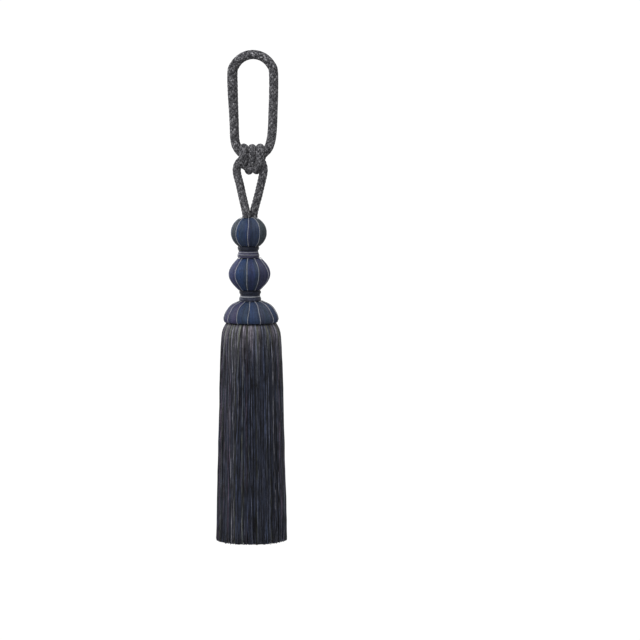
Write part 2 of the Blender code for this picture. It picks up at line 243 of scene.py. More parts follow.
# Looks of the yarns. Lengths and pitches in mm
YarnLook = namedtuple(
    "YarnLook", "name roughness sheen heather fibre_scale ply_pitch bump streak streak_length"
)
ROPE_LOOK = YarnLook("braided_rope", 0.85, 0.03, 0.5, 1100.0, 1.6, 0.5, 0.35, 3.0)
HEAD_LOOK = YarnLook("satin_yarn", 0.5, 0.06, 0.22, 700.0, 1.4, 0.35, 0.25, 7.0)
PALE_LOOK = YarnLook("pale_thread", 0.45, 0.02, 0.2, 1200.0, 1.2, 0.4, 0.3, 5.0)
SKIRT_LOOK = YarnLook("skirt_strands", 0.5, 0.04, 0.25, 500.0, 1.5, 0.3, 0.85, 16.0)
STREAK_SPACING = 7.31
SHEEN_ROUGHNESS = 0.45
SPECULAR_LEVEL = 0.2
NOISE_LOW = 0.3
NOISE_HIGH = 0.7
PLIES = 2.0
FIBRE_FINENESS = 6
FIBRE_RELIEF = 0.6
RELIEF_DEPTH = 0.15

# Yarn of the head
HEAD_YARN_RADIUS = 0.40
POINTS_PER_YARN = 6
HANK = 7
YARN_HEIGHT = 1.2
YARN_LIFT = 0.05
YARN_TONES = (0.72, 1.28)
HANK_SHARES = (0.1, 0.6)
SKIN_STEP = 0.2
SKIN_TOP_EDGE = 0.75
SKIN_FOOT_EDGE = 0.97
SKIN_CLOSED_EDGE = 0.08
Sway = namedtuple("Sway", "size rate waves")
SWAYS = (Sway(0.010, 0.16, 3), Sway(0.006, 0.45, 11))
LOWER_BALL_BACK = (HEAD_NAVY, HEAD_GREY, HEAD_BLUE, HEAD_PLUM, HEAD_GREY)
BELL_BACK = (BELL_MAUVE, BELL_SLATE, BELL_BLUE, BELL_GREY, BELL_SLATE, BELL_MAUVE, BELL_SLATE)
# lights are the pale threads' places in degrees, from 0 at the front to 90 at the right. Each colour
# is for the stretch of yarn that ends at the light of the same number
Cover = namedtuple("Cover", "node yarns rows colours lights")
COVERS = (
    Cover(
        "upper_ball",
        128,
        40,
        (HEAD_GREY, HEAD_BLUE, HEAD_NAVY, HEAD_GREY, HEAD_PLUM, HEAD_NAVY, HEAD_GREY, HEAD_BLUE),
        (-44.0, -1.0, 40.0, 85.0, 130.0, 177.0, 222.0, 268.0),
    ),
    Cover(
        "lower_ball",
        150,
        44,
        (HEAD_VIOLET, HEAD_BLUE, HEAD_NAVY, HEAD_PLUM, HEAD_VIOLET) + LOWER_BALL_BACK,
        (-41.0, -7.0, 28.0, 64.0, 101.0, 137.0, 173.0, 209.0, 245.0, 281.0),
    ),
    Cover(
        "bell",
        200,
        40,
        (BELL_MAUVE, BELL_MAUVE, BELL_SLATE, BELL_BLUE, BELL_GREY, BELL_SLATE, BELL_GREY) + BELL_BACK,
        (-56.0, -31.0, -4.0, 21.0, 54.0, 78.0, 104.0)
        + (130.0, 156.0, 181.0, 207.0, 233.0, 258.0, 281.0),
    ),
)
COLLAR_YARN_RADIUS = 0.42
COLLAR_PITCH = 1.9 * COLLAR_YARN_RADIUS
COLLAR_INSET = 0.55 * COLLAR_YARN_RADIUS
COLLAR_TILT = 0.12
COLLAR_UNEVENNESS = 0.03
COLLAR_LINE_STEP = 0.05
COLLAR_STEPS = 90
COLLAR_CORNERS = 8
COLLAR_CORE_CORNERS = 32
MARK_STEPS = 3
Collar = namedtuple("Collar", "node dark_turns light_turns light_share colour marks")
COLLARS = (
    Collar("upper_collar", 6, (7, 10), 0.55, COLLAR_MAUVE, 0.12),
    Collar("lower_collar", 6, (7,), 1.25, COLLAR_GREY, 0.35),
)
LIGHT_TURN_LIFT = 0.15
LIGHT_THREAD_RADIUS = 0.17
LIGHT_THREAD_PITCH = 2.0
LIGHT_THREAD_STEP = 0.45
LIGHT_THREAD_CORNERS = 6
LIGHT_THREAD_REST = 0.08
LIGHT_THREAD_ENDS = (0.3, 0.9)
LIGHT_THREAD_LEAN = 3.0
WANDER_SIZE = 0.02
WANDER_RATE = 9.0
PLY_ARM = 0.75
THREAD_TONES = (0.85, 1.15)

# Skirt. Depths are below the bell's rim
STRAND_RADIUS = 0.35
STRAND_CORNERS = 5
FILLER_RADIUS = 0.63
FILLER_CORNERS = 4
STRAND_DEPTHS = (0.0, 1.5, 3.5, 6.5, 10.0, 15.0, 24.0) + (
    40.0, 62.0, 88.0, 114.0, 140.0, 166.0, 188.0, 205.4
)
FILLER_DEPTHS = (2.0, 12.0, 60.0, 130.0, 204.4)
TOP_BAND = 1.0
OUTLINE_BANDS = ((5.0, 8.0), (13.0, 15.0), (34.0, 36.0), (109.0, 111.0), (200.0, 206.0))
SKIRT_ROOT_SHARE = 0.955
SKIRT_ROOT_DEPTH = 5.0
HEM_FLARE = 0.2
HEM_CUT = 0.28
StrandLayer = namedtuple("StrandLayer", "inset count")
OUTER_LAYERS = (
    StrandLayer(0.0, 320),
    StrandLayer(0.55, 310),
    StrandLayer(1.1, 300),
    StrandLayer(1.9, 280),
)
ANGLE_UNEVENNESS = 0.35
INSET_UNEVENNESS = (-0.15, 0.35)
FILLER_SPACING = 1.25
FILLER_UNEVENNESS = 0.3
FILLER_HOLE = 1.0
LOCKS_ROUND = 64
LOCK_MIXING = 0.3
LOCK_LEAN = 0.9
OWN_LEAN = 0.5
SETTLE_DEPTH = 30.0
# Waves of a strand: size and length of its lock's wave, then of its own
RADIAL_WAVES = ((0.25, 17.0), (0.18, 9.0))
SIDEWAYS_WAVES = ((0.30, 23.0), (0.20, 13.0))
GROUPS_ROUND = 4 * LOCKS_ROUND
GROUPS_PER_BUNDLE = 3
GROUP_FOLLOWERS = 0.05
GROUP_TONES = 0.05
LIGHT_TONES = 1.3
# Painted shade: slow waves of lighter and darker along each strand, for the light a strand catches as it
# turns
TWIST_SHADE_WAVE = 0.15
TWIST_SHADE_WAVE_LENGTHS = (14.0, 33.0)
BUNDLE_TONES = 0.32
BUNDLE_FOLLOWS = 0.6
ROOT_LIGHT_REACHES = (0.6, 1.5)

CURVE_STEPS = 24
LEVEL_TOLERANCE = 0.1

# quad_uv is the place of each quad's corners: u counts the strands, from one whole number to the next
# round each of them, and v is the length along it
Shape = namedtuple("Shape", "verts quads tris tints quad_uv")


def smooth_line(points, step):
    """Evenly spaced points on a smooth curve through the given points."""
    knots = np.array(points, float)
    knots = np.vstack([2 * knots[0] - knots[1], knots, 2 * knots[-1] - knots[-2]])
    t = np.linspace(0.0, 1.0, CURVE_STEPS, endpoint=False)[:, None]
    dense = []
    for before, start, end, after in zip(knots, knots[1:], knots[2:], knots[3:]):
        pull = (end - before) * t + (2 * before - 5 * start + 4 * end - after) * t ** 2
        pull += (3 * start - before - 3 * end + after) * t ** 3
        dense.append(start + 0.5 * pull)
    dense = np.vstack(dense + [knots[-2:-1]])
    places = line_places(dense)
    count = max(2, round(places[-1] / step))
    even = np.linspace(0.0, places[-1], count + 1)
    return np.column_stack([np.interp(even, places, dense[:, i]) for i in range(dense.shape[1])])


def line_places(line):
    """Distance along a line at each of its points."""
    return np.concatenate([[0.0], np.cumsum(np.linalg.norm(np.diff(line, axis=0), axis=1))])


def unit(vectors):
    return vectors / np.maximum(np.linalg.norm(vectors, axis=-1, keepdims=True), 1e-9)


def carried_frames(line):
    """Two directions across a line at each point, carried along it without twist."""
    along = unit(np.gradient(line, axis=0))
    arm = np.cross(along[0], (0.0, 1.0, 0.0))
    side = np.empty_like(line)
    for i, direction in enumerate(along):
        arm = unit(arm - direction * arm.dot(direction))
        side[i] = arm
    return side, np.cross(along, side)


def sweep(lines, outs, section, tints, closed=False):
    """Bodies of one cross-section carried along many lines of the same number of points.

    lines and outs are strands by points by 3, section is corners by (across, outward), running
    counter-clockwise, and tints are one colour for each strand, each point or each corner.
    """
    strands, points = lines.shape[:2]
    corners = len(section)
    if closed:
        along = unit(np.roll(lines, -1, axis=1) - np.roll(lines, 1, axis=1))
    else:
        along = unit(np.gradient(lines, axis=1))
    out = unit(outs - along * (outs * along).sum(-1, keepdims=True))
    across = np.cross(out, along)
    section = np.asarray(section, float)
    verts = lines[:, :, None] + across[:, :, None] * section[:, :1] + out[:, :, None] * section[:, 1:]
    if tints.ndim == 2:
        tints = tints[:, None]
    if tints.ndim == 3:
        tints = tints[:, :, None]
    tints = np.broadcast_to(tints, (strands, points, corners, 3))

    spans = points if closed else points - 1
    strand = np.arange(strands)[:, None, None]
    low = np.arange(spans)[None, :, None]
    corner = np.arange(corners)[None, None, :]
    high = (low + 1) % points
    turn = (corner + 1) % corners

    def vertex(point, k):
        return (strand * points + point) * corners + k

    quads = np.stack(
        [vertex(low, corner), vertex(low, turn), vertex(high, turn), vertex(high, corner)], axis=-1
    )
    steps = np.linalg.norm(np.diff(lines, axis=1, append=lines[:, :1]), axis=-1)
    places = np.concatenate([np.zeros((strands, 1)), np.cumsum(steps, axis=1)], axis=1)
    v_low = np.broadcast_to(places[:, :spans, None], (strands, spans, corners))
    v_high = np.broadcast_to(places[:, 1:spans + 1, None], (strands, spans, corners))
    u_low = np.broadcast_to(corner / corners + strand, (strands, spans, corners))
    u_high = u_low + 1.0 / corners
    around = ((u_low, v_low), (u_high, v_low), (u_high, v_high), (u_low, v_high))
    quad_uv = np.stack([np.stack(pair, axis=-1) for pair in around], axis=-2)
    tris = np.empty((0, 3), int)
    if not closed:
        fan = np.arange(1, corners - 1)[None, :]
        first = np.arange(strands)[:, None] * points * corners
        last = first + (points - 1) * corners
        starts = np.stack([first + 0 * fan, first + fan + 1, first + fan], axis=-1)
        ends = np.stack([last + 0 * fan, last + fan, last + fan + 1], axis=-1)
        tris = np.concatenate([starts.reshape(-1, 3), ends.reshape(-1, 3)])
    return Shape(
        verts.reshape(-1, 3),
        quads.reshape(-1, 4),
        tris,
        tints.reshape(-1, 3),
        quad_uv.reshape(-1, 2),
    )


def joined(shapes):
    """Several shapes as one."""
    offsets = np.cumsum([0] + [len(shape.verts) for shape in shapes[:-1]])
    return Shape(
        np.concatenate([shape.verts for shape in shapes]),
        np.concatenate([shape.quads + offset for shape, offset in zip(shapes, offsets)]),
        np.concatenate([shape.tris + offset for shape, offset in zip(shapes, offsets)]),
        np.concatenate([shape.tints for shape in shapes]),
        np.concatenate([shape.quad_uv for shape in shapes]),
    )


def make_piece(name, shape, material, nodes=()):
    """A mesh object from a shape. It rides on the root and stands for the CAD nodes named."""
    mesh = bpy.data.meshes.new(name)
    mesh.vertices.add(len(shape.verts))
    mesh.vertices.foreach_set("co", (shape.verts * MM).astype(np.float32).ravel())
    corners = np.concatenate([shape.quads.ravel(), shape.tris.ravel()])
    mesh.loops.add(len(corners))
    mesh.loops.foreach_set("vertex_index", corners.astype(np.int32))
    sizes = np.concatenate([np.full(len(shape.quads), 4), np.full(len(shape.tris), 3)])
    mesh.polygons.add(len(sizes))
    mesh.polygons.foreach_set("loop_start", np.concatenate([[0], np.cumsum(sizes)[:-1]]).astype(np.int32))
    uv = np.concatenate([shape.quad_uv, np.zeros((3 * len(shape.tris), 2))])
    mesh.uv_layers.new(name="UVMap").uv.foreach_set("vector", uv.astype(np.float32).ravel())
    mesh.update(calc_edges=True)
    mesh.validate()
    tint = mesh.attributes.new("tint", "FLOAT_COLOR", "POINT")
    colours = np.column_stack([shape.tints, np.ones(len(shape.tints))])
    tint.data.foreach_set("color", colours.astype(np.float32).ravel())
    mesh.shade_smooth()
    mesh.materials.append(material)
    piece = bpy.data.objects.new(name, mesh)
    bpy.context.scene.collection.objects.link(piece)
    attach(piece, "root")
    if nodes:
        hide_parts(*nodes)
    return piece


def round_section(radius, corners):
    angles = TURN * np.arange(corners) / corners
    return np.column_stack([radius * np.cos(angles), radius * np.sin(angles)])


def mixed(colour_a, colour_b, share):
    """Colours between two colours, one for each share."""
    share = np.asarray(share)[..., None]
    return np.array(colour_a) * (1 - share) + np.array(colour_b) * share


# Materials

def yarn_material(look):
    """Yarn: its tint with uneven dye and streaks along it, fine fibres, and plies that turn round it."""
    material = bpy.data.materials.new(look.name)
    material.use_nodes = True
    tree = material.node_tree
    nodes, links = tree.nodes, tree.links
    shader = nodes["Principled BSDF"]
    shader.inputs["Roughness"].default_value = look.roughness
    shader.inputs["Sheen Weight"].default_value = look.sheen
    shader.inputs["Sheen Roughness"].default_value = SHEEN_ROUGHNESS
    shader.inputs["Specular IOR Level"].default_value = SPECULAR_LEVEL

    def math_node(operation, *values):
        node = nodes.new("ShaderNodeMath")
        node.operation = operation
        for socket, value in zip(node.inputs, values):
            if isinstance(value, (int, float)):
                socket.default_value = value
            else:
                links.new(value, socket)
        return node.outputs[0]

    tint = nodes.new("ShaderNodeAttribute")
    tint.attribute_name = "tint"
    place = nodes.new("ShaderNodeTexCoord")
    dye = nodes.new("ShaderNodeTexNoise")
    dye.inputs["Scale"].default_value = look.fibre_scale
    dye.inputs["Detail"].default_value = 3.0
    links.new(place.outputs["Object"], dye.inputs["Vector"])
    uv = nodes.new("ShaderNodeUVMap")
    uv.uv_map = "UVMap"
    parts = nodes.new("ShaderNodeSeparateXYZ")
    links.new(uv.outputs["UV"], parts.inputs["Vector"])
    strand = math_node("MULTIPLY", math_node("FLOOR", parts.outputs["X"]), STREAK_SPACING)
    streaks = nodes.new("ShaderNodeTexNoise")
    streaks.noise_dimensions = "2D"
    streaks.inputs["Scale"].default_value = 1.0
    streaks.inputs["Detail"].default_value = 2.0
    spot = nodes.new("ShaderNodeCombineXYZ")
    links.new(strand, spot.inputs["X"])
    links.new(math_node("MULTIPLY", parts.outputs["Y"], 1.0 / look.streak_length), spot.inputs["Y"])
    links.new(spot.outputs["Vector"], streaks.inputs["Vector"])

    def level(value, spread):
        node = nodes.new("ShaderNodeMapRange")
        node.inputs["From Min"].default_value = NOISE_LOW
        node.inputs["From Max"].default_value = NOISE_HIGH
        node.inputs["To Min"].default_value = 1.0 - spread
        node.inputs["To Max"].default_value = 1.0 + spread
        links.new(value, node.inputs["Value"])
        return node.outputs["Result"]

    colour = nodes.new("ShaderNodeVectorMath")
    colour.operation = "SCALE"
    links.new(tint.outputs["Color"], colour.inputs[0])
    uneven_dye = level(dye.outputs["Fac"], look.heather)
    brightness = math_node("MULTIPLY", uneven_dye, level(streaks.outputs["Fac"], look.streak))
    links.new(brightness, colour.inputs["Scale"])
    links.new(colour.outputs["Vector"], shader.inputs["Base Color"])

    turns = math_node("MULTIPLY", parts.outputs["Y"], 1.0 / look.ply_pitch)
    phase = math_node("ADD", math_node("MULTIPLY", parts.outputs["X"], PLIES), turns)
    ply = math_node("ABSOLUTE", math_node("SINE", math_node("MULTIPLY", phase, math.pi)))
    fibres = nodes.new("ShaderNodeTexNoise")
    fibres.inputs["Scale"].default_value = FIBRE_FINENESS * look.fibre_scale
    fibres.inputs["Detail"].default_value = 2.0
    links.new(place.outputs["Object"], fibres.inputs["Vector"])
    height = math_node("ADD", ply, math_node("MULTIPLY", fibres.outputs["Fac"], FIBRE_RELIEF))
    relief = nodes.new("ShaderNodeBump")
    relief.inputs["Strength"].default_value = look.bump
    relief.inputs["Distance"].default_value = RELIEF_DEPTH * MM
    links.new(height, relief.inputs["Height"])
    links.new(relief.outputs["Normal"], shader.inputs["Normal"])
    return material


def floor_material():
    material = bpy.data.materials.new("studio_floor")
    material.use_nodes = True
    shader = material.node_tree.nodes["Principled BSDF"]
    shader.inputs["Base Color"].default_value = (FLOOR_GREY, FLOOR_GREY, FLOOR_GREY, 1.0)
    shader.inputs["Roughness"].default_value = FLOOR_ROUGHNESS
    return material


# Camera and studio

def make_camera():
    camera = bpy.data.objects.new("camera", bpy.data.cameras.new("camera"))
    bpy.context.scene.collection.objects.link(camera)
    camera.data.sensor_width = SENSOR_WIDTH
    camera.data.lens = SENSOR_WIDTH * CAMERA_DISTANCE / VIEW_WIDTH
    camera.data.clip_end = CLIP_END_M
    rise = math.radians(CAMERA_ELEVATION)
    back = Vector((0.0, -math.cos(rise), math.sin(rise)))
    camera.location = (Vector(VIEW_CENTRE) + back * CAMERA_DISTANCE) * MM
    camera.rotation_euler = back.to_track_quat("Z", "Y").to_euler()
    bpy.context.scene.camera = camera


def make_surround():
    """White to the eye on every side. It lights the tassel more from above than from below."""
    world = bpy.data.worlds.new("surround")
    world.use_nodes = True
    tree = world.node_tree
    place = tree.nodes.new("ShaderNodeTexCoord")
    parts = tree.nodes.new("ShaderNodeSeparateXYZ")
    tree.links.new(place.outputs["Generated"], parts.inputs["Vector"])
    level = tree.nodes.new("ShaderNodeMapRange")
    level.inputs["From Min"].default_value = GROUND_FROM
    level.inputs["From Max"].default_value = SKY_FROM
    level.inputs["To Min"].default_value = GROUND_LIGHT
    level.inputs["To Max"].default_value = SKY_LIGHT
    tree.links.new(parts.outputs["Z"], level.inputs["Value"])
    seen = tree.nodes.new("ShaderNodeLightPath")
    strength = tree.nodes.new("ShaderNodeMix")
    strength.inputs["B"].default_value = WHITE_LEVEL
    tree.links.new(seen.outputs["Is Camera Ray"], strength.inputs["Factor"])
    tree.links.new(level.outputs["Result"], strength.inputs["A"])
    background = tree.nodes["Background"]
    background.inputs["Color"].default_value = (1.0, 1.0, 1.0, 1.0)
    tree.links.new(strength.outputs["Result"], background.inputs["Strength"])
    return world


def make_studio():
    """A pale round floor under the hanging tassel, a white surround, and soft light on every side."""
    scene = bpy.context.scene
    scene.view_settings.view_transform = "Standard"
    scene.world = make_surround()
    height = cad_bounds[0][2] - FLOOR_DROP * MM
    angles = [TURN * i / FLOOR_SIDES for i in range(FLOOR_SIDES)]
    reach = FLOOR_RADIUS * MM
    mesh = bpy.data.meshes.new("floor")
    rim = [(reach * math.cos(angle), reach * math.sin(angle), height) for angle in angles]
    mesh.from_pydata(rim, [], [tuple(range(FLOOR_SIDES))])
    mesh.materials.append(floor_material())
    floor = bpy.data.objects.new("floor", mesh)
    scene.collection.objects.link(floor)
    for sun in SUNS:
        light = bpy.data.lights.new(sun.name, "SUN")
        light.energy = sun.energy
        light.angle = math.radians(sun.softness)
        holder = bpy.data.objects.new(sun.name, light)
        holder.rotation_euler = Vector(sun.direction).to_track_quat("-Z", "Y").to_euler()
        scene.collection.objects.link(holder)


# Rope and knot

def loop_line():
    """From inside the knot up the left strand, over the top and down the right strand."""
    start, end = (math.radians(angle) for angle in LOOP_ARC)
    angles = np.linspace(start, end, LOOP_ARC_POINTS)
    top = np.column_stack(
        [LOOP_RADIUS * np.cos(angles), 0 * angles, LOOP_CENTRE_Z + LOOP_RADIUS * np.sin(angles)]
    )
    return smooth_line(np.vstack([LOOP_LEFT_ROUTE, top, LOOP_RIGHT_ROUTE]), ROPE_STEP)


def turns_line():
    """The line and thickness of three turns in one: each down the front, and up behind to the next."""
    points = []
    followers = KNOT_TURNS[1:] + (KNOT_LAST_TOP,)
    for turn, follower in zip(KNOT_TURNS, followers):
        for i in range(KNOT_TURN_STEPS):
            angle = TURN * i / KNOT_TURN_STEPS
            share = (1 - math.cos(angle)) / 2
            top = turn if angle < math.pi else follower
            across = share ** KNOT_FOOT_HOLD if angle < math.pi else share
            x = top.top_x + (turn.foot_x - top.top_x) * across
            z = top.top_z + (turn.foot_z - top.top_z) * share
            y = -turn.half_depth * math.copysign(abs(math.sin(angle)) ** KNOT_FLATNESS, math.sin(angle))
            points.append((x, y, z, top.diameter))
    first = KNOT_TURNS[0]
    start = [
        (first.top_x - shift, first.half_depth * share, first.top_z - drop, first.diameter)
        for shift, share, drop in KNOT_START
    ]
    line = smooth_line(start + points, ROPE_STEP)
    return line[:, :3], line[:, 3]


def braid(line, diameter, parts, chance, flecks=ROPE_FLECKS):
    """A round braid, over two and under two, along a line. Returns one shape for each part.

    The diameter may differ from point to point. parts are ranges of points of the line, so pieces
    cut from one rope keep one braid. flecks is how pale the palest flecks of its yarns are.
    """
    side, across = carried_frames(line)
    place = line_places(line)
    nominal = np.mean(diameter)
    thick = np.broadcast_to(diameter * BRAID_FULLNESS, len(line))
    half_height = CARRIER_HALF_HEIGHT * nominal
    wave = CARRIER_WAVE * nominal
    middle = thick / 2 - wave - half_height
    lead = BRAID_LEAD * nominal / ROPE_DIAMETER
    one_way = CARRIERS // 2
    crossing = CARRIERS * place / lead
    steepness = math.atan(TURN * middle.mean() / lead)
    half_width = TURN * (middle.mean() + wave) / one_way * math.cos(steepness) / 2
    lines, outs, tints = [], [], []
    for way in (1, -1):
        for number in range(one_way):
            angle = way * TURN * place / lead + TURN * number / one_way
            weave = way * crossing + 2 * number
            lift = way * np.clip(CARRIER_DWELL * np.cos(TURN * (weave - 0.5) / 4), -1.0, 1.0)
            out = np.cos(angle)[:, None] * side + np.sin(angle)[:, None] * across
            lines.append(line + out * (middle + wave * lift)[:, None])
            outs.append(out)
            light = number % LIGHT_CARRIER_STRIDE == 0
            yarns = chance.uniform(*(LIGHT_CARRIER_SHARES if light else DARK_CARRIER_SHARES), 3)
            spots = flecks * chance.uniform(0.0, 1.0, (len(line), 3)) ** FLECK_RARITY
            shares = np.clip(yarns + (spots - FLECK_FLOOR), 0.0, 1.0)[:, YARN_OF_CORNER]
            tints.append(mixed(ROPE_DARK, ROPE_LIGHT, shares))
    lines, outs, tints = np.array(lines), np.array(outs), np.array(tints)
    section = np.array(CARRIER_SECTION) * (half_width, half_height)
    core_section = round_section(middle.min() - wave, CORE_CORNERS)
    core_tint = np.array([ROPE_DARK])
    shapes = []
    for first, last in parts:
        carriers = sweep(lines[:, first:last], outs[:, first:last], section, tints[:, first:last])
        core = sweep(line[None, first:last], side[None, first:last], core_section, core_tint)
        shapes.append(joined([carriers, core]))
    return shapes


def make_ropes(material, chance):
    """The loop, the two legs and the knot, from three lengths of one braid and a tucked end."""
    loop = loop_line()
    outside = np.flatnonzero(loop[:, 2] > KNOT_UPPER_Z)
    first, last = outside[0], outside[-1] + 1
    visible = np.flatnonzero(np.abs(loop[:, 0]) > KNOT_HIDDEN_REACH)
    low, high = visible[0], visible[-1] + 1
    swell = LEFT_SWELL * np.exp(-((loop[:, 2] - LEFT_SWELL_Z) / LEFT_SWELL_REACH) ** 2)
    thick = ROPE_DIAMETER * (1 + swell * np.clip(-loop[:, 0] / LOOP_RADIUS, 0.0, 1.0))
    loop_shape, left_end, right_end = braid(
        loop, thick, ((first, last), (low, first + 1), (last - 1, high)), chance
    )
    piece = make_piece("rope_loop_braid", loop_shape, material, ["rope_loop"])

    legs = smooth_line(LEG_ROUTE, ROPE_STEP)
    inside = np.flatnonzero(legs[:, 2] > KNOT_LOWER_Z)
    first, last = inside[0], inside[-1] + 1
    hidden = [i for i in inside if abs(legs[i, 0]) < KNOT_HIDDEN_REACH]
    left_leg, right_leg, left_root, right_root = braid(
        legs,
        LEG_DIAMETER,
        ((0, first + 1), (last - 1, len(legs)), (first, hidden[0]), (hidden[-1], last)),
        chance,
    )
    piece = make_piece("rope_leg_left_braid", left_leg, material, ["rope_leg_left"])
    piece = make_piece("rope_leg_right_braid", right_leg, material, ["rope_leg_right"])

    turns, turn_thick = turns_line()
    (turns_shape,) = braid(turns, turn_thick, ((0, len(turns)),), chance, KNOT_FLECKS)
    tuck = smooth_line(TUCKED_END_ROUTE, ROPE_STEP)
    (tuck_shape,) = braid(tuck, TUCKED_END_DIAMETER, ((0, len(tuck)),), chance, KNOT_FLECKS)
    knot = joined([turns_shape, tuck_shape, left_end, right_end, left_root, right_root])
    make_piece("rope_knot_braid", knot, material, ["rope_knot"])


# Head

def node_profile(node):
    """The axis of a turned CAD piece, and its rows of radius and height from the top down."""
    points = np.array([vert.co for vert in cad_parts[node].data.vertices]) / MM
    axis = (points.min(0) + points.max(0)) / 2
    rows = []
    for height in np.unique(np.round(points[:, 2], 1))[::-1]:
        level = points[np.abs(points[:, 2] - height) < LEVEL_TOLERANCE]
        rows.append((np.hypot(level[:, 0] - axis[0], level[:, 1] - axis[1]).max(), height))
    return axis[:2], np.array(rows)


def yarn_cover(cover, chance):
    """Upright yarns laid side by side over a turned piece, as one closed ridged skin."""
    axis, rows = node_profile(cover.node)
    top, foot = rows[0], rows[-1]
    outline = np.vstack(
        [
            (SKIN_CLOSED_EDGE * top[0], top[1]),
            (SKIN_TOP_EDGE * top[0], top[1]),
            rows[1:-1],
            (SKIN_FOOT_EDGE * foot[0], foot[1]),
            (SKIN_CLOSED_EDGE * foot[0], foot[1]),
        ]
    )
    line = smooth_line(outline, SKIN_STEP)
    place = line_places(line)
    even = np.linspace(0.0, place[-1], cover.rows)
    line = np.column_stack([np.interp(even, place, line[:, i]) for i in range(2)])
    slope = unit(np.gradient(line, axis=0))
    normal = np.column_stack([-slope[:, 1], slope[:, 0]])
    columns = cover.yarns * POINTS_PER_YARN
    column = np.arange(columns)
    across = (column % POINTS_PER_YARN) / POINTS_PER_YARN * 2 - 1
    ridge = np.sqrt(np.clip(1 - across ** 2, 0.0, 1.0))
    yarn = column // POINTS_PER_YARN
    lift = chance.normal(0.0, YARN_LIFT, cover.yarns)[yarn]
    scale = np.clip(line[:, 0] / rows[:, 0].max(), 0.05, 1.0)[:, None]
    rise = (ridge * HEAD_YARN_RADIUS * YARN_HEIGHT - HEAD_YARN_RADIUS + lift) * scale
    swaying = sum(
        sway.size * np.sin(even[:, None] * sway.rate + sway.waves * TURN * column / columns)
        for sway in SWAYS
    )
    angle = TURN * column / columns + swaying
    radius = line[:, :1] + normal[:, :1] * rise
    height = line[:, 1:] + normal[:, 1:] * rise
    verts = np.stack(
        [axis[0] + radius * np.cos(angle), axis[1] + radius * np.sin(angle), height], axis=-1
    )
    colours = np.array(cover.colours)
    first_light = cover.lights[0]
    degrees = 360.0 * np.arange(cover.yarns) / cover.yarns + 90.0
    degrees = (degrees - first_light) % 360.0 + first_light
    of_panel = np.searchsorted(cover.lights, degrees, side="right") % len(colours)
    of_hank = np.repeat(chance.integers(0, len(colours), cover.yarns // HANK + 1), HANK)
    hank_share = chance.uniform(*HANK_SHARES, cover.yarns)
    tone = mixed(colours[of_panel], colours[of_hank[:cover.yarns]], hank_share)
    tone *= chance.uniform(*YARN_TONES, (cover.yarns, 1))
    tints = np.broadcast_to(tone[yarn], (cover.rows, columns, 3))
    low = np.arange(cover.rows - 1)[:, None]
    here = np.arange(columns)[None, :]
    turn = (here + 1) % columns
    high = low + 1
    quads = np.stack(
        [low * columns + here, high * columns + here, high * columns + turn, low * columns + turn],
        axis=-1,
    )
    u_low = np.broadcast_to(here / POINTS_PER_YARN, (cover.rows - 1, columns))
    v_low = np.broadcast_to(even[:-1, None], u_low.shape)
    v_high = np.broadcast_to(even[1:, None], u_low.shape)
    u_high = u_low + 1.0 / POINTS_PER_YARN
    around = ((u_low, v_low), (u_low, v_high), (u_high, v_high), (u_high, v_low))
    quad_uv = np.stack([np.stack(pair, axis=-1) for pair in around], axis=-2)
    count = cover.rows * columns
    ends = np.array([(*axis, line[0, 1]), (*axis, line[-1, 1])])
    last = (cover.rows - 1) * columns
    following = (column + 1) % columns
    top_fan = np.column_stack([np.full(columns, count), column, following])
    foot_fan = np.column_stack([np.full(columns, count + 1), last + following, last + column])
    return Shape(
        np.concatenate([verts.reshape(-1, 3), ends]),
        quads.reshape(-1, 4),
        np.concatenate([top_fan, foot_fan]),
        np.concatenate([tints.reshape(-1, 3), [HEAD_NAVY, HEAD_NAVY]]),
        quad_uv.reshape(-1, 2),
    )


def light_threads(cover, chance):
    """Pale threads of two plies, laid over the yarn from the neck to the foot."""
    axis, rows = node_profile(cover.node)
    top, foot = rows[0], rows[-1]
    start = (LIGHT_THREAD_ENDS[0] * top[0], top[1])
    end = (LIGHT_THREAD_ENDS[1] * foot[0], foot[1])
    outline = smooth_line(np.vstack([start, rows, end]), LIGHT_THREAD_STEP)
    slope = unit(np.gradient(outline, axis=0))
    normal = np.column_stack([-slope[:, 1], slope[:, 0]])
    place = line_places(outline)
    reach = outline + normal * (LIGHT_THREAD_REST + LIGHT_THREAD_RADIUS)
    share = place / place[-1]
    lines, outs = [], []
    for degrees in cover.lights:
        lean = math.radians(chance.uniform(-LIGHT_THREAD_LEAN, LIGHT_THREAD_LEAN))
        wander = WANDER_SIZE * np.sin(share * WANDER_RATE + chance.uniform(0.0, TURN))
        angle = math.radians(degrees - 90.0) + lean * (share - 0.5) + wander
        way = np.column_stack([np.cos(angle), np.sin(angle), 0 * angle])
        side = np.column_stack([-np.sin(angle), np.cos(angle), 0 * angle])
        centre = way * reach[:, :1] + (*axis, 0.0)
        centre[:, 2] = reach[:, 1]
        out = way * normal[:, :1]
        out[:, 2] = normal[:, 1]
        for ply in (0.0, math.pi):
            turn = TURN * place / LIGHT_THREAD_PITCH + ply
            arm = out * np.cos(turn)[:, None] + side * np.sin(turn)[:, None]
            lines.append(centre + arm * LIGHT_THREAD_RADIUS * PLY_ARM)
            outs.append(out)
    tints = np.array(LIGHT_THREAD) * chance.uniform(*THREAD_TONES, (len(lines), 1))
    section = round_section(LIGHT_THREAD_RADIUS, LIGHT_THREAD_CORNERS)
    return sweep(np.array(lines), np.array(outs), section, tints)


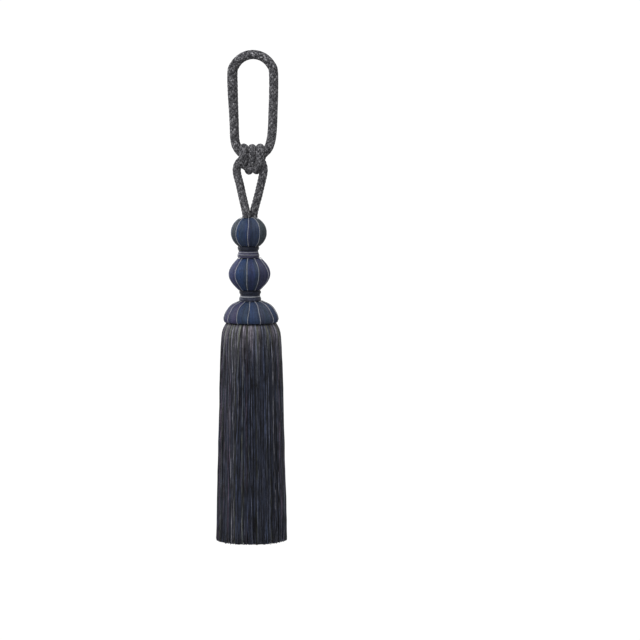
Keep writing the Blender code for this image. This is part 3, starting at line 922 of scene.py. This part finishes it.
def wound_collar(collar, chance):
    """Turns of yarn wound round a collar, one above another, on a plain core."""
    axis, rows = node_profile(collar.node)
    outline = smooth_line(rows, COLLAR_LINE_STEP)
    place = line_places(outline)
    count = int(place[-1] // COLLAR_PITCH)
    centres = (np.arange(count) + 0.5) * place[-1] / count
    angles = TURN * np.arange(COLLAR_STEPS) / COLLAR_STEPS
    way = np.column_stack([np.cos(angles), np.sin(angles), 0 * angles])
    lines, outs, tints = [], [], []
    for number, centre in enumerate(centres):
        tilt = COLLAR_TILT * np.sin(angles + chance.uniform(0.0, TURN))
        radius = np.interp(centre, place, outline[:, 0]) - COLLAR_INSET
        radius += chance.normal(0.0, COLLAR_UNEVENNESS)
        radius += LIGHT_TURN_LIFT if number in collar.light_turns else 0.0
        line = way * radius + (*axis, 0.0)
        line[:, 2] = np.interp(centre, place, outline[:, 1]) + tilt
        lines.append(line)
        outs.append(way)
        base = COLLAR_DARK if number < collar.dark_turns else collar.colour
        share = collar.light_share if number in collar.light_turns else 0.0
        tone = mixed(base, LIGHT_THREAD, share) * chance.uniform(*THREAD_TONES)
        marks = chance.uniform(1 - collar.marks, 1 + collar.marks, (COLLAR_STEPS // MARK_STEPS, 1))
        tints.append(tone * np.repeat(marks, MARK_STEPS, axis=0))
    section = round_section(COLLAR_YARN_RADIUS, COLLAR_CORNERS)
    turns = sweep(np.array(lines), np.array(outs), section, np.array(tints), closed=True)
    core_line = np.array([[(*axis, rows[0, 1]), (*axis, rows[-1, 1])]])
    core_out = np.array([[(1.0, 0.0, 0.0), (1.0, 0.0, 0.0)]])
    core_section = round_section(rows[:, 0].min() - COLLAR_YARN_RADIUS, COLLAR_CORE_CORNERS)
    core = sweep(core_line, core_out, core_section, np.array([COLLAR_DARK]))
    return joined([turns, core])


def make_head(yarn, pale, chance):
    for cover in COVERS:
        make_piece(f"{cover.node}_yarn", yarn_cover(cover, chance), yarn, [cover.node])
        make_piece(f"{cover.node}_light_threads", light_threads(cover, chance), pale)
    for collar in COLLARS:
        shape = wound_collar(collar, chance)
        make_piece(f"{collar.node}_windings", shape, yarn, [collar.node])


# Skirt

def skirt_outline():
    """The axis of the CAD skirt, the bell's rim, and the skirt's outer radius by depth below it."""
    points = np.array([vert.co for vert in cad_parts["skirt"].data.vertices]) / MM
    axis = (points.min(0) + points.max(0)) / 2
    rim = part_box("bell")[0][2] / MM
    depth = rim - points[:, 2]
    radius = np.hypot(points[:, 0] - axis[0], points[:, 1] - axis[1])
    rows = [(0.0, radius[depth < TOP_BAND].max())]
    for low, high in OUTLINE_BANDS:
        level = (depth > low) & (depth < high)
        rows.append((depth[level].mean(), radius[level].max()))
    return axis[:2], rim, smooth_line(rows, 1.0)


def strand_lines(angles, shares, insets, depths, outline, chance):
    """Centre lines of strands that hang from under the bell, drawn together in loose locks."""
    axis, rim, profile = outline
    count = len(angles)
    lock = angles / TURN * LOCKS_ROUND + chance.uniform(-LOCK_MIXING, LOCK_MIXING, count)
    lock = np.floor(lock).astype(int) % LOCKS_ROUND
    lock_phase = chance.uniform(0.0, TURN, LOCKS_ROUND)[lock][:, None]
    lock_lean = chance.normal(0.0, LOCK_LEAN, LOCKS_ROUND)[lock][:, None]
    own_phase = chance.uniform(0.0, TURN, (count, 1))
    own_lean = chance.normal(0.0, OWN_LEAN, (count, 1))
    depth = np.array(depths)[None, :] + np.zeros((count, 1))
    depth[:, -1:] += chance.normal(0.0, HEM_CUT, (count, 1))

    def waves(sizes_and_lengths):
        (lock_size, lock_length), (own_size, own_length) = sizes_and_lengths
        lock_wave = lock_size * np.sin(depth / lock_length + lock_phase)
        return lock_wave + own_size * np.sin(depth / own_length + own_phase)

    fall = np.clip(depth / depths[-1], 0.0, 1.1)
    full = np.interp(depth, profile[:, 0], profile[:, 1])
    root = np.clip(1 - depth / SKIRT_ROOT_DEPTH, 0.0, 1.0)
    reach = (full - insets[:, None] + HEM_FLARE * fall ** 3) * shares[:, None]
    reach = reach * (1 - root * (1 - SKIRT_ROOT_SHARE))
    settle = np.clip(depth / SETTLE_DEPTH, 0.0, 1.0)
    reach = reach + settle * waves(RADIAL_WAVES)
    sideways = lock_lean * fall + own_lean * fall ** 2 + settle * waves(SIDEWAYS_WAVES)
    angle = angles[:, None] + sideways / np.maximum(full, 1.0)
    way = np.stack([np.cos(angle), np.sin(angle), 0 * angle], axis=-1)
    lines = way * reach[..., None]
    lines[..., 0] += axis[0]
    lines[..., 1] += axis[1]
    lines[..., 2] = rim - depth
    return lines, way


def strand_tints(angles, depths, chance):
    """A yarn colour for each point of each strand.

    Darker and lighter strands take turns, in runs of up to STRANDS_ALIKE. The top of the skirt is
    paler and greyer, in bundles: partly its yarns' own colour and partly painted light from above
    on its shoulder. Close under the bell the strands are darkened with painted shade.
    """
    count = len(angles)
    colours = np.array([entry.colour for entry in STRAND_COLOURS])
    shares = np.cumsum([entry.share for entry in STRAND_COLOURS])
    group = np.floor(angles / TURN * GROUPS_ROUND).astype(int) % GROUPS_ROUND
    of_group = np.searchsorted(shares, chance.uniform(0.0, shares[-1], GROUPS_ROUND))[group]
    light = np.repeat(np.arange(count), chance.integers(1, STRANDS_ALIKE + 1, count))[:count] % 2
    own = np.searchsorted(shares, (chance.uniform(size=count) + light) * shares[-1] / 2)
    follow = chance.uniform(size=count) < GROUP_FOLLOWERS
    depth = np.array(depths)[None, :]
    level = chance.normal(0.0, GROUP_TONES, GROUPS_ROUND)[group]
    level = (level + (light - 0.5) * chance.uniform(0.0, LIGHT_TONES, count))[:, None]
    # painted shade: each strand lighter and darker in waves along it, as if turning in the light
    for length in TWIST_SHADE_WAVE_LENGTHS:
        level = level + TWIST_SHADE_WAVE * np.sin(depth / length + chance.uniform(0.0, TURN, (count, 1)))
    tint = colours[np.where(follow, of_group, own)][:, None] * np.exp(level)[..., None]
    bundle = group // GROUPS_PER_BUNDLE
    # the paler top is partly the yarns' own colour and partly painted light from above on the shoulder
    bundle_tint = np.array(ROOT_TINTS_AND_TOP_LIGHT)[chance.integers(0, len(ROOT_TINTS_AND_TOP_LIGHT), GROUPS_ROUND)][bundle]
    bundle_level = chance.normal(0.0, BUNDLE_TONES, GROUPS_ROUND)[bundle][:, None]
    bundle_level = bundle_level + BUNDLE_FOLLOWS * level
    pale = bundle_tint[:, None] * np.exp(bundle_level)[..., None]
    reach = ROOT_LIGHT_DEPTH * chance.uniform(*ROOT_LIGHT_REACHES, (count, 1))
    root = np.exp(-(depth / reach) ** 2)[..., None]
    # painted shade close under the bell's rim
    shade = 1 - ROOT_SHADE * np.exp(-(depth / ROOT_SHADE_DEPTH) ** 2)[..., None]
    shade = shade * (1 - MIDDLE_SHADE * np.sin(math.pi * depth / depths[-1]))[..., None]
    return (tint * (1 - root) + pale * root) * shade


def make_skirt(yarn, chance):
    """Fine strands in close layers outside, and coarser ones within."""
    outline = skirt_outline()
    hem_radius = outline[-1][-1, 1]
    section = round_section(STRAND_RADIUS, STRAND_CORNERS)
    layers = []
    for layer in OUTER_LAYERS:
        shifts = chance.uniform(-ANGLE_UNEVENNESS, ANGLE_UNEVENNESS, layer.count)
        angles = TURN * (np.arange(layer.count) + shifts) / layer.count
        insets = layer.inset + STRAND_RADIUS + chance.uniform(*INSET_UNEVENNESS, layer.count)
        shares = np.ones(layer.count)
        lines, outs = strand_lines(angles, shares, insets, STRAND_DEPTHS, outline, chance)
        layers.append(sweep(lines, outs, section, strand_tints(angles, STRAND_DEPTHS, chance)))
    half = len(layers) // 2
    make_piece("skirt_outer_strands", joined(layers[:half]), yarn, ["skirt"])
    make_piece("skirt_second_strands", joined(layers[half:]), yarn)

    foot = hem_radius - OUTER_LAYERS[-1].inset - 2 * STRAND_RADIUS
    cells = np.arange(-foot, foot, FILLER_SPACING)
    x, y = (grid.ravel() for grid in np.meshgrid(cells, cells))
    x = x + chance.uniform(-FILLER_UNEVENNESS, FILLER_UNEVENNESS, len(x))
    y = y + chance.uniform(-FILLER_UNEVENNESS, FILLER_UNEVENNESS, len(y))
    kept = (np.hypot(x, y) < foot) & (np.hypot(x, y) > FILLER_HOLE)
    x, y = x[kept], y[kept]
    angles = np.arctan2(y, x) % TURN
    shares = np.hypot(x, y) / hem_radius
    lines, outs = strand_lines(angles, shares, np.zeros(len(x)), FILLER_DEPTHS, outline, chance)
    tints = strand_tints(angles, FILLER_DEPTHS, chance)
    fillers = sweep(lines, outs, round_section(FILLER_RADIUS, FILLER_CORNERS), tints)
    make_piece("skirt_inner_strands", fillers, yarn)


def main():
    chance = np.random.default_rng(SEED)
    make_camera()
    rope = yarn_material(ROPE_LOOK)
    yarn = yarn_material(HEAD_LOOK)
    pale = yarn_material(PALE_LOOK)
    strand = yarn_material(SKIRT_LOOK)
    make_ropes(rope, chance)
    make_head(yarn, pale, chance)
    make_skirt(strand, chance)
    make_studio()


main()
